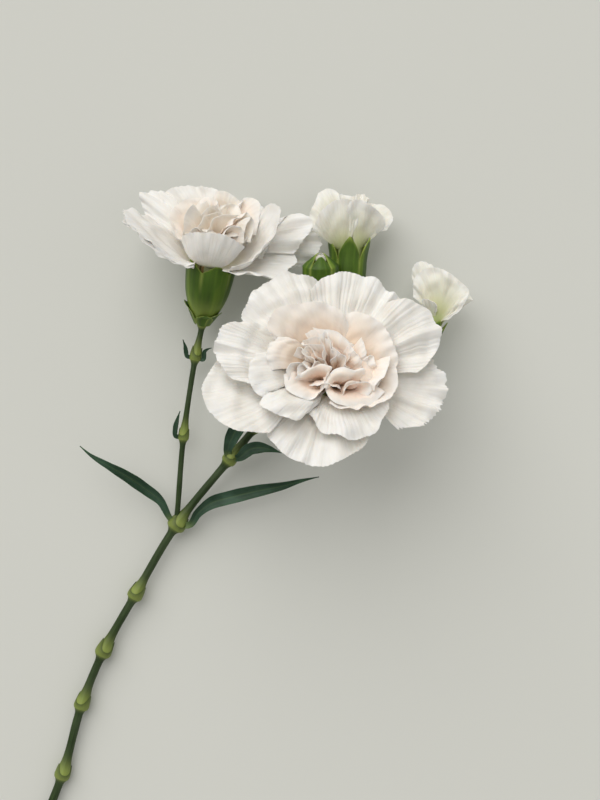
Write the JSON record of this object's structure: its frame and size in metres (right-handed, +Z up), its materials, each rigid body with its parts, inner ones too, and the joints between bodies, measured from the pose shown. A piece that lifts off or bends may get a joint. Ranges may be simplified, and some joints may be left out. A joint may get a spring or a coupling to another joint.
{
  "type": "cut spray carnation",
  "caption": "Cut spray carnation lying down: one jointed green stem with narrow leaves, open ruffled white blooms, opening blooms and a closed bud.",
  "frame": {"origin": "on the table, at the middle of the whole spray's footprint", "axes": "+Y runs from the cut end towards the blooms, along the longest extent; +X is to the right as the spray is seen from above; +Z is up from the table, along the shortest extent"},
  "size_m": [0.1456, 0.2184, 0.0597],
  "materials": {
    "stem_green": "waxy, satin",
    "leaf_green": "waxy blue-green bloom, matt",
    "calyx_green": "smooth, satin",
    "petal_white": "soft, matt, slightly see-through",
    "petal_cream": "soft, matt, slightly see-through",
    "pistil": "matt"
  },
  "bodies": {
    "root": {"main_stem": "stem_green", "side_stalk": "stem_green", "front_stalk": "stem_green", "bud_stalk": "stem_green", "young_stalk": "stem_green", "fork_leaf_left": "leaf_green", "fork_leaf_right": "leaf_green", "upper_leaf_left": "leaf_green", "upper_leaf_right": "leaf_green", "stalk_bract_lower": "leaf_green", "stalk_bract_left": "leaf_green", "stalk_bract_right": "leaf_green", "front_bloom_calyx": "calyx_green", "front_bloom_pistil": "pistil", "front_bloom_guard_petal_1": "petal_white", "front_bloom_guard_petal_2": "petal_white", "front_bloom_guard_petal_3": "petal_white", "front_bloom_guard_petal_4": "petal_white", "front_bloom_second_petal_1": "petal_white", "front_bloom_second_petal_2": "petal_white", "front_bloom_second_petal_3": "petal_white", "front_bloom_second_petal_4": "petal_white", "front_bloom_middle_petal_1": "petal_cream", "front_bloom_middle_petal_2": "petal_cream", "front_bloom_middle_petal_3": "petal_cream", "front_bloom_middle_petal_4": "petal_cream", "front_bloom_middle_petal_5": "petal_cream", "front_bloom_inner_petal_1": "petal_cream", "front_bloom_inner_petal_2": "petal_cream", "front_bloom_inner_petal_3": "petal_cream", "front_bloom_inner_petal_4": "petal_cream", "front_bloom_heart_petal_1": "petal_cream", "front_bloom_heart_petal_2": "petal_cream", "front_bloom_heart_petal_3": "petal_cream", "side_bloom_calyx": "calyx_green", "side_bloom_guard_petal_1": "petal_white", "side_bloom_guard_petal_2": "petal_white", "side_bloom_guard_petal_3": "petal_white", "side_bloom_guard_petal_4": "petal_white", "side_bloom_second_petal_1": "petal_white", "side_bloom_second_petal_2": "petal_white", "side_bloom_second_petal_3": "petal_white", "side_bloom_middle_petal_1": "petal_cream", "side_bloom_middle_petal_2": "petal_cream", "side_bloom_middle_petal_3": "petal_cream", "side_bloom_inner_petal_1": "petal_cream", "side_bloom_inner_petal_2": "petal_cream", "side_bloom_inner_petal_3": "petal_cream", "opening_bloom_calyx": "calyx_green", "opening_bloom_guard_petal_1": "petal_white", "opening_bloom_guard_petal_2": "petal_white", "opening_bloom_guard_petal_3": "petal_white", "opening_bloom_inner_petal_1": "petal_cream", "opening_bloom_inner_petal_2": "petal_cream", "young_bloom_calyx": "calyx_green", "young_bloom_guard_petal_1": "petal_white", "young_bloom_guard_petal_2": "petal_white", "young_bloom_guard_petal_3": "petal_white", "bud_calyx": "calyx_green", "bud_tip_petal_1": "petal_white"}
  },
  "joints": []
}
